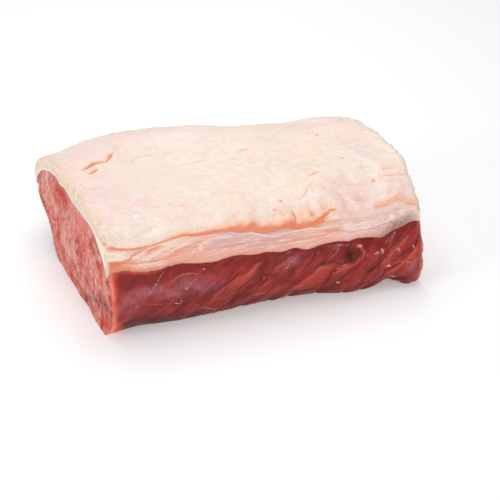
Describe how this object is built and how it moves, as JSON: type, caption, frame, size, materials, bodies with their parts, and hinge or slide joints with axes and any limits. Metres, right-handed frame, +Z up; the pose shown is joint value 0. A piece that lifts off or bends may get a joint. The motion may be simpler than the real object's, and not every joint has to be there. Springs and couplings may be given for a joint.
{
  "type": "beef porterhouse",
  "caption": "Boneless block of raw beef striploin lying fat side up: dark red lean, a pale silverskin over it and a thick cream fat cap, with a square-cut face at each end.",
  "frame": {"origin": "centre of the bounding box's bottom, in the plane that the roast lies on", "axes": "+X along the roast from the visible cut end to the other one, -Y the side where it was cut from the backbone, +Z up through the fat cap"},
  "size_m": [0.2686, 0.2246, 0.0975],
  "materials": {
    "lean": "wet raw lean, dark red",
    "silverskin": "moist, pinkish white",
    "fat": "waxy, cream with a pink tinge"
  },
  "bodies": {
    "root": {"lean": "lean", "silverskin": "silverskin", "fat_cap": "fat"}
  },
  "joints": []
}
